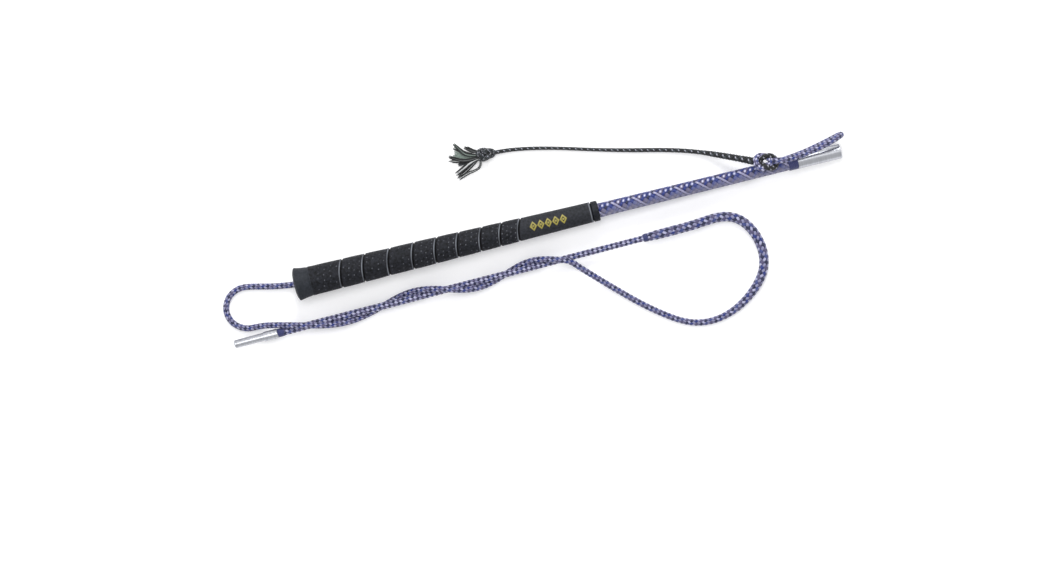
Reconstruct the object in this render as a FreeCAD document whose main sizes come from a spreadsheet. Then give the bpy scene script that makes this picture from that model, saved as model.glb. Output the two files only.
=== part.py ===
import FreeCAD, Part

import math
import os

import Sketcher

# A take-apart lunge whip, stored with its two halves side by side.
# The handle half lies over its own lash. The lash is fixed to the tip half's point, loops back,
# winds round that half, runs under the handle half and turns up over its socket ferrule, where
# its eye holds the cracker's eye.
#
# Frame: the origin is the centre of the butt's end face, +X runs towards the socket ferrule and
# +Z is up. The surface that the whip lies on is axis_height below the origin.

V = FreeCAD.Vector
doc = FreeCAD.newDocument("lunge_whip")
sheet = doc.addObject("Spreadsheet::Sheet", "sizes")

SIZES = {
    # where the two halves lie
    "axis_height": 19.6,  # butt centre above the surface
    "handle_pitch": 0.97,  # degrees: the handle dips towards its ferrule
    "tip_height": 8.5,  # tip half's axis above the surface
    "tip_start": -62.0,  # X of the spigot's free end
    "tip_offset": -36.65,  # Y of the spigot's free end
    "tip_yaw": 0.76,  # degrees: the halves close up slightly towards the tip
    # grip, measured along the handle's axis
    "cap_length": 15.0,
    "cap_floor": 5.0,
    "flat_radius": 10.5,
    "flare_radius": 14.2,
    "flare_peak": 2.6,
    "neck_radius": 12.45,
    "sleeve_end": 258.4,
    "sleeve_front_radius": 9.0,
    "collar_length": 6.4,
    "collar_radius": 8.7,
    "groove_radius": 0.85,
    "groove_lean": 10.8,  # degrees
    "ornament_start": 200.0,
    "ornament_end": 242.0,
    "ornament_rise": 0.3,
    "lozenge_side": 4.2,
    "tape_wall": 0.4,
    # handle stick
    "braid_radius": 6.15,
    "braid_end_radius": 5.6,
    "core_radius": 4.9,
    "core_end_radius": 4.45,
    "braid_end": 438.0,
    "binding_wall": 0.45,
    "binding_length": 8.0,
    "ferrule_radius": 6.2,
    "ferrule_length": 38.0,
    "core_seat": 9.0,
    "socket_radius": 3.5,
    "socket_depth": 27.0,
    # tip half, measured from the spigot's free end
    "spigot_radius": 3.45,
    "spigot_length": 26.0,
    "spigot_lead": 0.8,
    "shell_radius": 4.1,
    "shell_length": 12.0,
    "tip_core_radius": 2.35,
    "tip_core_end": 1.35,
    "tip_braid_radius": 3.3,
    "tip_braid_end": 2.45,
    "tip_length": 384.0,
    "tip_binding_start": 357.0,
    "tip_binding_length": 5.5,
    "tip_binding_radius": 3.9,
    "root_binding_start": 38.4,
    "root_binding_length": 5.0,
    "lash_start": 363.0,
    # cords
    "thick_lash": 7.8,
    "middle_lash": 6.3,
    "thin_lash": 4.9,
    "eye_strand": 4.6,
    "cracker_cord_width": 3.3,
    "cracker_splice_width": 5.0,
    "cracker_eye_width": 3.3,
    "knot_length": 15.6,
    "knot_width": 11.2,
    "knot_height": 10.2,
    "strand_width": 2.3,
}
for row, (name, value) in enumerate(SIZES.items(), start=1):
    sheet.set(f"A{row}", name)
    sheet.set(f"B{row}", str(value))
    sheet.setAlias(f"B{row}", name)
doc.recompute()


def size(name):
    """A driving dimension, read back from the sheet."""
    return float(sheet.get(name))


def bound(text):
    """An expression in the sheet's names, as FreeCAD writes it."""
    for name in sorted(SIZES, key=len, reverse=True):
        text = text.replace(name, "sizes.@" + str(list(SIZES).index(name)) + "@")
    for index, name in enumerate(SIZES):
        text = text.replace("@" + str(index) + "@", name)
    return text


def number(text):
    """What such an expression comes to."""
    for name in sorted(SIZES, key=len, reverse=True):
        text = text.replace(name, "#" + str(list(SIZES).index(name)) + "#")
    for index, name in enumerate(SIZES):
        text = text.replace("#" + str(index) + "#", str(size(name)))
    total = 0.0
    for term in text.replace(" ", "").replace("-", "+-").split("+"):
        if term:
            product = 1.0
            for factor in term.split("*"):
                product *= float(factor)
            total += product
    return total


FLOOR = -size("axis_height")
handle_place = FreeCAD.Placement(V(0, 0, 0), FreeCAD.Rotation(V(0, 1, 0), size("handle_pitch")))
tip_place = FreeCAD.Placement(
    V(size("tip_start"), size("tip_offset"), FLOOR + size("tip_height")),
    FreeCAD.Rotation(V(0, 0, 1), size("tip_yaw")),
)
nodes = {}


# ---------------------------------------------------------------- turned pieces


def turned(label, profile, place, keep=True):
    """A body turned about its X axis. The profile is a closed outline of (along, radius) pairs."""
    body = doc.addObject("PartDesign::Body", label)
    body.Label = label
    sketch = body.newObject("Sketcher::SketchObject", label + "_outline")
    planes = {feature.Role: feature for feature in body.Origin.OriginFeatures}
    sketch.AttachmentSupport = (planes["XY_Plane"], "")
    sketch.MapMode = "FlatFace"
    corners = [V(number(along), number(radius), 0) for along, radius in profile]
    count = len(corners)
    for index in range(count):
        edge = Part.LineSegment(corners[index], corners[(index + 1) % count])
        sketch.addGeometry(edge, False)
    for index in range(count):
        sketch.addConstraint(Sketcher.Constraint("Coincident", index, 2, (index + 1) % count, 1))
    for index, (along, radius) in enumerate(profile):
        for kind, text, value in (
            ("DistanceX", along, corners[index].x),
            ("DistanceY", radius, corners[index].y),
        ):
            if abs(value) < 1e-9:
                axis = -2 if kind == "DistanceX" else -1
                sketch.addConstraint(Sketcher.Constraint("PointOnObject", index, 1, axis))
            else:
                made = sketch.addConstraint(Sketcher.Constraint(kind, -1, 1, index, 1, value))
                sketch.setExpression(f"Constraints[{made}]", bound(text))
    revolution = body.newObject("PartDesign::Revolution", label + "_turned")
    revolution.Profile = sketch
    revolution.ReferenceAxis = (sketch, ["H_Axis"])
    revolution.Angle = 360
    sketch.Visibility = False
    body.Placement = place
    if keep:
        nodes[label] = body
    return body


def ring(start, end, inner_start, inner_end, outer_start, outer_end):
    """The outline of a sleeve whose bore and outside may both taper."""
    return [(start, inner_start), (end, inner_end), (end, outer_end), (start, outer_start)]


def taper(name_start, name_end, share):
    """A radius part of the way along a straight taper, as an expression."""
    return f"{1 - share:.6f}*{name_start} + {share:.6f}*{name_end}"


# Handle half. The stick tapers from the butt to the ferrule, so a radius at some distance along
# it is that share of the whole taper.
def handle_share(along):
    return along / size("braid_end")


def braid_at(along):
    return taper("braid_radius", "braid_end_radius", handle_share(along))


def core_at(along):
    return taper("core_radius", "core_end_radius", handle_share(along))


cap_length = size("cap_length")
cap_floor = size("cap_floor")
sleeve_end = size("sleeve_end")
collar_end = sleeve_end + size("collar_length")
collar_gap = 0.4  # between the sleeve's front and the collar
braid_start = 20.0
tape_start = 22.0
tape_end = collar_end - 1.0

turned(
    "butt_cap",
    [
        ("0", "0"),
        ("0", "flat_radius"),
        ("0.7", "flare_radius - 1.3"),
        ("flare_peak", "flare_radius"),
        ("6.5", "flare_radius - 0.8"),
        ("11", "neck_radius + 0.25"),
        ("cap_length", "neck_radius"),
        ("cap_length", core_at(cap_length)),
        ("cap_floor", core_at(cap_floor)),
        ("cap_floor", "0"),
    ],
    handle_place,
)
turned(
    "handle_core",
    [
        ("cap_floor", "0"),
        ("cap_floor", core_at(cap_floor)),
        ("braid_end", "core_end_radius"),
        ("braid_end + core_seat", "core_end_radius"),
        ("braid_end + core_seat", "0"),
    ],
    handle_place,
)
turned(
    "handle_braid",
    ring(
        f"{braid_start}", "braid_end", core_at(braid_start), "core_end_radius",
        braid_at(braid_start), "braid_end_radius",
    ),
    handle_place,
)
turned(
    "grip_tape",
    ring(
        f"{tape_start}", f"{tape_end}", braid_at(tape_start), braid_at(tape_end),
        braid_at(tape_start) + " + tape_wall", braid_at(tape_end) + " + tape_wall",
    ),
    handle_place,
)
sleeve_blank = turned(
    "grip_blank",
    [
        ("cap_length", core_at(cap_length)),
        (f"{braid_start}", core_at(braid_start)),
        (f"{braid_start}", braid_at(braid_start)),
        (f"{tape_start}", braid_at(tape_start)),
        (f"{tape_start}", braid_at(tape_start) + " + tape_wall"),
        ("sleeve_end", braid_at(sleeve_end) + " + tape_wall"),
        ("sleeve_end", "sleeve_front_radius"),
        ("cap_length", "neck_radius"),
    ],
    handle_place,
    keep=False,
)
turned(
    "grip_collar",
    [
        (f"sleeve_end + {collar_gap}", braid_at(sleeve_end + collar_gap) + " + tape_wall"),
        (f"{tape_end}", braid_at(tape_end) + " + tape_wall"),
        (f"{tape_end}", braid_at(tape_end)),
        ("sleeve_end + collar_length", braid_at(collar_end)),
        ("sleeve_end + collar_length", "collar_radius - 0.7"),
        ("sleeve_end + collar_length - 0.7", "collar_radius"),
        ("sleeve_end + 0.9", "collar_radius"),
        (f"sleeve_end + {collar_gap}", "collar_radius - 0.4"),
    ],
    handle_place,
)


def sleeve_at(along):
    """The grip sleeve's outside radius at a distance from the butt, as an expression."""
    share = (along - cap_length) / (sleeve_end - cap_length)
    return taper("neck_radius", "sleeve_front_radius", share)


# The sleeve is moulded like a wound leather strip: leaning grooves part its turns, and each turn
# is a little shorter than the one behind it.
groove_count = 9
first_groove = 39.3
first_turn = 20.9
turn_shrink = 0.46
groove_lift = 0.35
grooves = []
along = first_groove
for index in range(groove_count):
    groove = doc.addObject("Part::Torus", f"groove_{index + 1}")
    groove.Radius1 = number(sleeve_at(along)) + groove_lift
    groove.setExpression("Radius2", bound("groove_radius"))
    lean = FreeCAD.Rotation(V(0, 0, 1), -size("groove_lean")) * FreeCAD.Rotation(V(0, 1, 0), 90)
    groove.Placement = handle_place * FreeCAD.Placement(V(along, 0, 0), lean)
    grooves.append(groove)
    along += first_turn - turn_shrink * index
all_grooves = doc.addObject("Part::MultiFuse", "all_grooves")
all_grooves.Shapes = grooves
grip_sleeve = doc.addObject("Part::Cut", "grip_sleeve")
grip_sleeve.Base = sleeve_blank
grip_sleeve.Tool = all_grooves
nodes["grip_sleeve"] = grip_sleeve

# A generic ornament on the smooth front of the sleeve: five gold lozenges, level with the top.
ornament_back = sleeve_at(size("ornament_start"))
ornament_front = sleeve_at(size("ornament_end"))
ornament_shell = turned(
    "ornament_shell",
    ring(
        "ornament_start", "ornament_end", ornament_back, ornament_front,
        ornament_back + " + ornament_rise", ornament_front + " + ornament_rise",
    ),
    handle_place,
    keep=False,
)
lozenge_count = 5
lozenge_first = 206.5
lozenge_pitch = 7.2
lozenge_height = 20.0
lozenges = []
for index in range(lozenge_count):
    lozenge = doc.addObject("Part::Box", f"lozenge_{index + 1}")
    lozenge.setExpression("Length", bound("lozenge_side"))
    lozenge.setExpression("Width", bound("lozenge_side"))
    lozenge.Height = lozenge_height
    turn = FreeCAD.Rotation(V(0, 0, 1), 45)
    corner = turn.multVec(V(-size("lozenge_side") / 2, -size("lozenge_side") / 2, 0))
    place = FreeCAD.Placement(V(lozenge_first + lozenge_pitch * index, 0, 0) + corner, turn)
    lozenge.Placement = handle_place * place
    lozenges.append(lozenge)
all_lozenges = doc.addObject("Part::MultiFuse", "all_lozenges")
all_lozenges.Shapes = lozenges
grip_ornament = doc.addObject("Part::Common", "grip_ornament")
grip_ornament.Base = ornament_shell
grip_ornament.Tool = all_lozenges
nodes["grip_ornament"] = grip_ornament

binding_gap = 0.2  # between the binding and the ferrule
binding_back = braid_at(size("braid_end") - size("binding_length"))
binding_front = braid_at(size("braid_end") - binding_gap)
turned(
    "socket_binding",
    ring(
        "braid_end - binding_length", f"braid_end - {binding_gap}", binding_back, binding_front,
        binding_back + " + binding_wall", binding_front + " + binding_wall",
    ),
    handle_place,
)
turned(
    "socket_ferrule",
    [
        ("braid_end", "core_end_radius"),
        ("braid_end + core_seat", "core_end_radius"),
        ("braid_end + core_seat", "0"),
        ("braid_end + ferrule_length - socket_depth", "0"),
        ("braid_end + ferrule_length - socket_depth", "socket_radius"),
        ("braid_end + ferrule_length", "socket_radius"),
        ("braid_end + ferrule_length", "ferrule_radius - 0.4"),
        ("braid_end + ferrule_length - 0.4", "ferrule_radius"),
        ("braid_end + 0.5", "ferrule_radius"),
        ("braid_end", "ferrule_radius - 0.5"),
    ],
    handle_place,
)


# Tip half. Its braid starts where the metal shell ends.
shell_end = size("spigot_length") + size("shell_length")


def tip_share(along):
    return (along - shell_end) / (size("tip_length") - shell_end)


def tip_braid_at(along):
    return taper("tip_braid_radius", "tip_braid_end", tip_share(along))


turned(
    "spigot_ferrule",
    [
        ("0", "0"),
        ("0", "spigot_radius - spigot_lead"),
        ("spigot_lead", "spigot_radius"),
        ("spigot_length", "spigot_radius"),
        ("spigot_length", "shell_radius"),
        ("spigot_length + shell_length - 0.4", "shell_radius"),
        ("spigot_length + shell_length", "shell_radius - 0.4"),
        ("spigot_length + shell_length", "tip_core_radius"),
        ("spigot_length + 1.5", "tip_core_radius"),
        ("spigot_length + 1.5", "0"),
    ],
    tip_place,
)
turned(
    "tip_core",
    [
        ("spigot_length + 1.5", "0"),
        ("spigot_length + 1.5", "tip_core_radius"),
        ("spigot_length + shell_length", "tip_core_radius"),
        ("tip_length - 0.5", "tip_core_end"),
        ("tip_length - 0.5", "0"),
    ],
    tip_place,
)
turned(
    "tip_braid",
    ring(
        "spigot_length + shell_length + 0.2", "tip_length - 1", "tip_core_radius",
        "tip_core_end + 0.003", "tip_braid_radius", "tip_braid_end",
    ),
    tip_place,
)
root_back = tip_braid_at(size("root_binding_start"))
root_front = tip_braid_at(size("root_binding_start") + size("root_binding_length"))
turned(
    "root_binding",
    ring(
        "root_binding_start", "root_binding_start + root_binding_length", root_back, root_front,
        root_back + " + binding_wall", root_front + " + binding_wall",
    ),
    tip_place,
)
binding_end = size("tip_binding_start") + size("tip_binding_length")
turned(
    "tip_binding",
    [
        ("tip_binding_start", tip_braid_at(size("tip_binding_start"))),
        ("tip_binding_start + tip_binding_length", tip_braid_at(binding_end)),
        ("tip_binding_start + tip_binding_length", "tip_binding_radius"),
        ("tip_binding_start + 1.4", "tip_binding_radius"),
        ("tip_binding_start", "tip_braid_end + 0.5"),
    ],
    tip_place,
)
turned(
    "lash_sleeve",
    ring(
        "lash_start", "tip_length", tip_braid_at(size("lash_start")),
        tip_braid_at(size("tip_length")),
        "0.5*thick_lash", "0.5*thick_lash",
    ),
    tip_place,
)


# ---------------------------------------------------------------- cords
# Every route is a list of (X, Y, height above the surface).


def tip_axis(along):
    """The tip half's axis above the surface, at this X."""
    run = (along - size("tip_start")) / math.cos(math.radians(size("tip_yaw")))
    side = size("tip_offset") + run * math.sin(math.radians(size("tip_yaw")))
    radius = number(tip_braid_at(min(max(run, shell_end), size("tip_length"))))
    return side, radius


lash_loop = [
    (321.9, -31.56, 8.5),
    (335.0, -31.38, 8.5),
    (347.5, -30.5, 7.2),
    (359.5, -29.5, 5.2),
    (370.5, -30.6, 4.2),
    (380.0, -35.6, 3.95),
    (387.0, -44.5, 3.95),
    (391.3, -55.5, 3.95),
    (392.9, -68.0, 3.95),
    (390.2, -80.8, 3.95),
    (382.7, -91.8, 3.9),
    (372.3, -101.0, 3.7),
    (360.5, -108.2, 3.5),
    (347.5, -112.8, 3.2),
    (334.0, -114.2, 2.7),
    (321.0, -112.0, 2.5),
    (308.8, -106.2, 2.5),
    (296.5, -97.6, 2.5),
    (282.0, -85.9, 2.6),
    (266.5, -71.3, 3.3),
    (251.5, -56.5, 6.0),
    (240.0, -45.2, 10.4),
]

# The lash winds round the tip half: the X of its crossings, first over the stick, then under it,
# and so on. It comes from the first and heads for the last, but reaches neither. A half turn has
# six points.
crossings = [270.9, 223.2, 175.5, 124.5, 68.0, 2.5, -63.0]
steps = 6
wrap_gap = 0.5
lash_wraps = []
for count in range(-1, 4 * steps + 2):
    half, share = count // steps, (count % steps) / steps
    before, after = crossings[half + 1 : half + 3]
    place = before + (after - before) * share
    angle = math.radians(90 - 180 * count / steps)
    side, radius = tip_axis(place)
    swing = radius + size("thin_lash") / 2 + wrap_gap
    height = size("tip_height") + swing * math.sin(angle)
    lash_wraps.append((place, side + swing * math.cos(angle), height))

# It leaves the root, turns in a wide bight past the butt and runs under the whole handle half.
lash_run = [
    (-29.0, -27.8, 7.6),
    (-39.0, -26.6, 4.2),
    (-50.0, -26.4, 2.7),
    (-60.2, -19.2, 2.45),
    (-63.5, -7.1, 2.45),
    (-58.2, 4.2, 2.45),
    (-46.9, 9.5, 2.45),
    (-34.1, 7.2, 2.45),
    (-16.6, 2.8, 2.45),
    (8.0, -0.4, 2.45),
    (45.0, -2.5, 2.45),
    (95.0, -4.1, 2.45),
    (150.0, -4.9, 2.45),
    (205.0, -4.8, 2.45),
    (260.0, -3.7, 2.45),
    (315.0, -1.9, 2.45),
    (365.0, 0.3, 2.45),
    (410.0, 2.8, 2.45),
]

# At the ferrule it turns up beside the handle and back over it.
lash_turn = [
    (443.0, 5.7, 2.45),
    (461.5, 9.4, 2.7),
    (471.0, 11.7, 4.4),
    (477.6, 13.4, 8.4),
    (480.0, 13.6, 13.6),
    (477.4, 12.5, 19.6),
    (470.6, 10.2, 23.2),
    (461.0, 7.6, 23.6),
    (449.0, 5.3, 23.2),
    (436.5, 3.9, 24.2),
    (426.0, 3.5, 25.6),
    (417.5, 5.2, 24.9),
]

lash_eye = [
    (416.6, 5.4, 23.6),
    (413.2, 10.4, 19.6),
    (408.0, 12.8, 18.0),
    (403.8, 10.4, 19.6),
    (403.2, 5.6, 21.0),
    (406.2, 1.0, 22.3),
    (411.8, 1.0, 22.9),
]

cracker_eye = [
    (406.2, 7.0, 17.6),
    (408.4, 10.6, 20.0),
    (413.4, 12.0, 23.4),
    (418.8, 9.8, 22.8),
    (421.8, 5.0, 21.2),
    (420.2, -0.4, 21.4),
    (415.6, -2.0, 23.6),
    (410.6, 0.2, 25.8),
    (407.4, 3.4, 22.0),
]

cracker_line = [
    (403.6, 8.4, 16.4),
    (393.5, 13.2, 14.0),
    (384.0, 17.6, 10.5),
    (374.5, 21.9, 6.6),
    (363.5, 26.7, 3.8),
    (349.0, 32.0, 2.2),
    (330.0, 37.4, 1.65),
    (300.0, 44.3, 1.65),
    (272.0, 51.8, 1.65),
    (247.0, 59.2, 1.65),
    (224.0, 64.9, 1.65),
    (207.0, 67.9, 1.65),
    (197.0, 68.9, 2.2),
    (188.5, 69.2, 3.6),
]


def cord_edges(points, closed=False):
    """Straight runs joined by tangent arcs, each as large as its two runs allow."""
    count = len(points)
    corners = range(count) if closed else range(1, count - 1)
    bends = {}
    for index in corners:
        here = points[index]
        back = points[index - 1] - here
        ahead = points[(index + 1) % count] - here
        reach = 0.45 * min(back.Length, ahead.Length)
        turn = math.pi - back.getAngle(ahead)
        back.normalize()
        ahead.normalize()
        radius = reach / math.tan(turn / 2)
        inward = back + ahead
        inward.normalize()
        middle = here + inward * (radius / math.cos(turn / 2) - radius)
        bends[index] = (here + back * reach, middle, here + ahead * reach, radius)
    edges = []
    last = bends[0][2] if closed else points[0]
    for index in list(corners)[1:] + [0] if closed else corners:
        start, middle, end, radius = bends[index]
        edges.append(Part.LineSegment(last, start).toShape())
        edges.append(Part.Arc(start, middle, end).toShape())
        last = end
    if not closed:
        edges.append(Part.LineSegment(last, points[-1]).toShape())
    return edges, min(bend[3] for bend in bends.values()) if bends else 0.0


def raised(route):
    """A route's points in the part's frame."""
    return [V(x, y, FLOOR + height) for x, y, height in route]


def half_way(first, second):
    return (first + second) * 0.5


def swept(edges, width):
    """A round section drawn along a row of edges."""
    start = edges[0].valueAt(edges[0].FirstParameter)
    along = edges[0].tangentAt(edges[0].FirstParameter)
    circle = Part.Wire(Part.Circle(start, along, width / 2).toShape())
    return Part.Wire(edges).makePipeShell([circle], True, False)


def tube(label, points, width, closed=False):
    """A plain round cord along its route, checked against its section times its length."""
    edges, tightest = cord_edges(points, closed)
    if closed:
        half = len(edges) // 2
        solid = swept(edges[:half], width).fuse(swept(edges[half:], width)).Solids[0]
    else:
        solid = swept(edges, width)
    feature = doc.addObject("Part::Feature", label)
    feature.Label = label
    feature.Shape = solid
    nodes[label] = feature
    length = Part.Wire(edges).Length
    share = solid.Volume / (math.pi * width**2 / 4 * length)
    print(f"{label}: {length:.1f} mm, tightest radius {tightest:.1f} mm, volume x{share:.4f}")
    if abs(share - 1) > 0.02:
        raise RuntimeError(label + " has the wrong volume")
    return length


whole_lash = raised(lash_loop + lash_wraps + lash_run + lash_turn)
taper_from = 10
thin_from = 13
bight_points = 8
wraps_from = len(lash_loop)
run_from = wraps_from + len(lash_wraps)
under_from = run_from + bight_points
turn_from = run_from + len(lash_run)


def stretch(first, last):
    """The lash from the middle of one run to the middle of another, or to the lash's own end."""
    start = [whole_lash[0]] if first == 0 else [half_way(whole_lash[first - 1], whole_lash[first])]
    end = [] if last == len(whole_lash) else [half_way(whole_lash[last - 1], whole_lash[last])]
    return start + whole_lash[max(first, 1) : last] + end


lash_length = 0.0
for label, first, last, width in (
    ("lash_thick", 0, taper_from, "thick_lash"),
    ("lash_taper", taper_from, thin_from, "middle_lash"),
    ("lash_loop", thin_from, wraps_from, "thin_lash"),
    ("lash_wraps", wraps_from, run_from, "thin_lash"),
    ("lash_bight", run_from, under_from, "thin_lash"),
    ("lash_under_handle", under_from, turn_from, "thin_lash"),
    ("lash_turn", turn_from, len(whole_lash), "thin_lash"),
):
    lash_length += tube(label, stretch(first, last), size(width))
lash_length += tube("lash_eye", raised(lash_eye), size("eye_strand"), closed=True)
print(f"the lash is {lash_length:.0f} mm long with its eye")

cracker = raised(cracker_line)
splice_to = 5
splice_end = half_way(cracker[splice_to - 1], cracker[splice_to])
cracker_length = tube("cracker_eye", raised(cracker_eye), size("cracker_eye_width"), closed=True)
cracker_length += tube(
    "cracker_splice", cracker[:splice_to] + [splice_end], size("cracker_splice_width")
)
cracker_length += tube(
    "cracker_cord", [splice_end] + cracker[splice_to:], size("cracker_cord_width")
)
print(f"the cracker is {cracker_length:.0f} mm long with its eye")

# The overhand knot that ends the cracker, and the frayed strands beyond it.
knot_place = V(183.4, 69.5, FLOOR + size("knot_height") / 2)
knot_yaw = -3.0
knot = doc.addObject("Part::Ellipsoid", "cracker_knot")
knot.setExpression("Radius1", bound("0.5*knot_height"))
knot.setExpression("Radius2", bound("0.5*knot_length"))
knot.setExpression("Radius3", bound("0.5*knot_width"))
knot.Placement = FreeCAD.Placement(knot_place, FreeCAD.Rotation(V(0, 0, 1), knot_yaw))
nodes["cracker_knot"] = knot

strand_ends = [
    ((179.0, 72.6, 6.6), (166.6, 80.4, 4.4)),
    ((177.6, 72.2, 3.4), (158.0, 85.8, 1.5)),
    ((177.2, 70.8, 6.4), (157.6, 80.6, 4.6)),
    ((176.8, 70.2, 3.4), (151.6, 75.8, 1.6)),
    ((176.6, 68.8, 6.2), (150.6, 71.8, 4.4)),
    ((176.8, 67.6, 3.2), (157.8, 66.2, 1.6)),
    ((177.4, 66.6, 6.0), (153.6, 58.8, 3.2)),
    ((178.4, 65.8, 3.0), (155.4, 54.8, 1.4)),
]
strands = []
for index, (root, end) in enumerate(strand_ends):
    start, stop = raised([root, end])
    strand = doc.addObject("Part::Cylinder", f"strand_{index + 1}")
    strand.setExpression("Radius", bound("0.5*strand_width"))
    strand.Height = (stop - start).Length
    strand.Placement = FreeCAD.Placement(start, FreeCAD.Rotation(V(0, 0, 1), stop - start))
    strands.append(strand)
tassel = doc.addObject("Part::Compound", "tassel")
tassel.Links = strands
nodes["tassel"] = tassel

# ---------------------------------------------------------------- checks and files

doc.recompute()
for item in doc.Objects:
    if "Invalid" in item.State or "Error" in item.State:
        raise RuntimeError(f"{item.Label} failed: {item.State}")
for label, item in nodes.items():
    shape = item.Shape
    if shape.isNull() or not shape.isValid() or not shape.Solids:
        raise RuntimeError(f"{label} has no valid solid")

os.makedirs("parts", exist_ok=True)
for label, item in nodes.items():
    item.Shape.exportStep(f"parts/{label}.step")
print(f"{len(nodes)} nodes written")
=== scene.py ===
import math

import bpy
import numpy as np
from mathutils import Matrix, Vector


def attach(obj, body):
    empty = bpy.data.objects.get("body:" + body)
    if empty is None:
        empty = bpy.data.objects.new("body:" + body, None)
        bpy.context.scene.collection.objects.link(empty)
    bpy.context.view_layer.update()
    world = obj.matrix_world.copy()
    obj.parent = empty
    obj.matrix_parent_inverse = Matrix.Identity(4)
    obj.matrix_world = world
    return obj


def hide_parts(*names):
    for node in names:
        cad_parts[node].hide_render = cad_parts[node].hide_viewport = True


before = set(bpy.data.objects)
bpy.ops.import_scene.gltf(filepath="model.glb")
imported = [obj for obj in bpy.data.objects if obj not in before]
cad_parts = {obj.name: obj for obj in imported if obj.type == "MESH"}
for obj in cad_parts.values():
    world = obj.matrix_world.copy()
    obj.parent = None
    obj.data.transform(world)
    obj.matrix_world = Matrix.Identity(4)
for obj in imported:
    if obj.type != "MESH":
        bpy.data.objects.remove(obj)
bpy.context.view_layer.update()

# A two-piece lunge whip stored with its halves side by side. Lengths of the whip are in
# millimetres here and become metres where a mesh or a curve is made. FLOOR is the surface it lies
# on, PITCH is the dip of the handle half's far end in degrees, and the TIP_ numbers place the tip
# half's spigot end and turn it.
MM = 0.001
FLOOR = -19.6
PITCH = 0.97
TIP_START, TIP_SIDE, TIP_HEIGHT, TIP_YAW = -62.0, -36.65, 8.5, 0.76

scene = bpy.context.scene
scene.view_settings.view_transform = "Standard"
chance = np.random.default_rng(7)


# ---------------------------------------------------------------------------- camera

# The camera looks straight down. These are metres, and the width is seen at the floor.
VIEW_CENTRE = Vector((191.4, -45.2, FLOOR)) * MM
VIEW_WIDTH, VIEW_DISTANCE = 0.897, 2.6
SENSOR = 36.0
VIEW_RIGHT = Vector((0.971, -0.2385, 0.0)).normalized()
VIEW_UP = Vector((0.2385, 0.971, 0.0)).normalized()

camera_data = bpy.data.cameras.new("camera")
camera_data.sensor_width = SENSOR
camera_data.lens = SENSOR * VIEW_DISTANCE / VIEW_WIDTH
camera = bpy.data.objects.new("camera", camera_data)
scene.collection.objects.link(camera)
turn = Matrix((VIEW_RIGHT, VIEW_UP, Vector((0, 0, 1)))).transposed().to_4x4()
camera.matrix_world = Matrix.Translation(VIEW_CENTRE + Vector((0, 0, VIEW_DISTANCE))) @ turn
scene.camera = camera


# ---------------------------------------------------------------------------- materials


def finish_of(name, roughness, specular, metallic=0.0, sheen=0.0):
    """A material with the numbers that are the same all over it. Colour and bump are added."""
    material = bpy.data.materials.new(name)
    material.use_nodes = True
    nodes, links = material.node_tree.nodes, material.node_tree.links
    shader = nodes["Principled BSDF"]
    shader.inputs["Roughness"].default_value = roughness
    shader.inputs["Specular IOR Level"].default_value = specular
    shader.inputs["Metallic"].default_value = metallic
    shader.inputs["Sheen Weight"].default_value = sheen
    return material, nodes, links, shader


def colour(red, green, blue):
    """Linear colour from the 0 to 255 numbers of a screen colour."""
    return tuple(((c / 255 + 0.055) / 1.055) ** 2.4 for c in (red, green, blue)) + (1.0,)


def add(nodes, kind, **inputs):
    """A node with some of its inputs set. A key that starts with set_ sets a property instead."""
    node = nodes.new(kind)
    for key, value in inputs.items():
        if key.startswith("set_"):
            setattr(node, key[4:], value)
        else:
            node.inputs[key.replace("_", " ")].default_value = value
    return node


def mapped(nodes, links, source, scale):
    """Texture coordinates of one kind from the piece, stretched."""
    place = add(nodes, "ShaderNodeTexCoord")
    mapping = add(nodes, "ShaderNodeMapping", Scale=scale)
    links.new(place.outputs[source], mapping.inputs["Vector"])
    return mapping.outputs["Vector"]


def ramp(nodes, links, factor, stops):
    """A colour ramp over a factor, from (position, colour) stops."""
    node = nodes.new("ShaderNodeValToRGB")
    while len(node.color_ramp.elements) < len(stops):
        node.color_ramp.elements.new(0.5)
    for element, (position, shade) in zip(node.color_ramp.elements, stops):
        element.position, element.color = position, shade
    links.new(factor, node.inputs["Fac"])
    return node.outputs["Color"]


def bump(nodes, links, height, shader, strength, distance):
    """A bump on the shader. The distance is in metres."""
    node = add(nodes, "ShaderNodeBump", Strength=strength, Distance=distance)
    links.new(height, node.inputs["Height"])
    links.new(node.outputs["Normal"], shader.inputs["Normal"])


def marks(nodes, links):
    """The two marks that a piece's points carry, as factors."""
    source = add(nodes, "ShaderNodeAttribute", set_attribute_name="marks")
    split = add(nodes, "ShaderNodeSeparateColor")
    links.new(source.outputs["Color"], split.inputs["Color"])
    return split.outputs["Red"], split.outputs["Green"]


def blend(nodes, links, factor, shade, other):
    """A colour that turns into another one as the factor grows."""
    mix = add(nodes, "ShaderNodeMix", set_data_type="RGBA")
    links.new(factor, mix.inputs["Factor"])
    links.new(shade, mix.inputs[6])
    mix.inputs[7].default_value = other
    return mix.outputs[2]


# What a braid's marks turn its yarn into: the first one is a painted highlight, the second a
# painted reflection of the pale floor.
PAINTED_HIGHLIGHT = colour(222, 222, 244)
PAINTED_FLOOR_REFLECTION = colour(146, 144, 163)
FILAMENTS = 7.0


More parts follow.
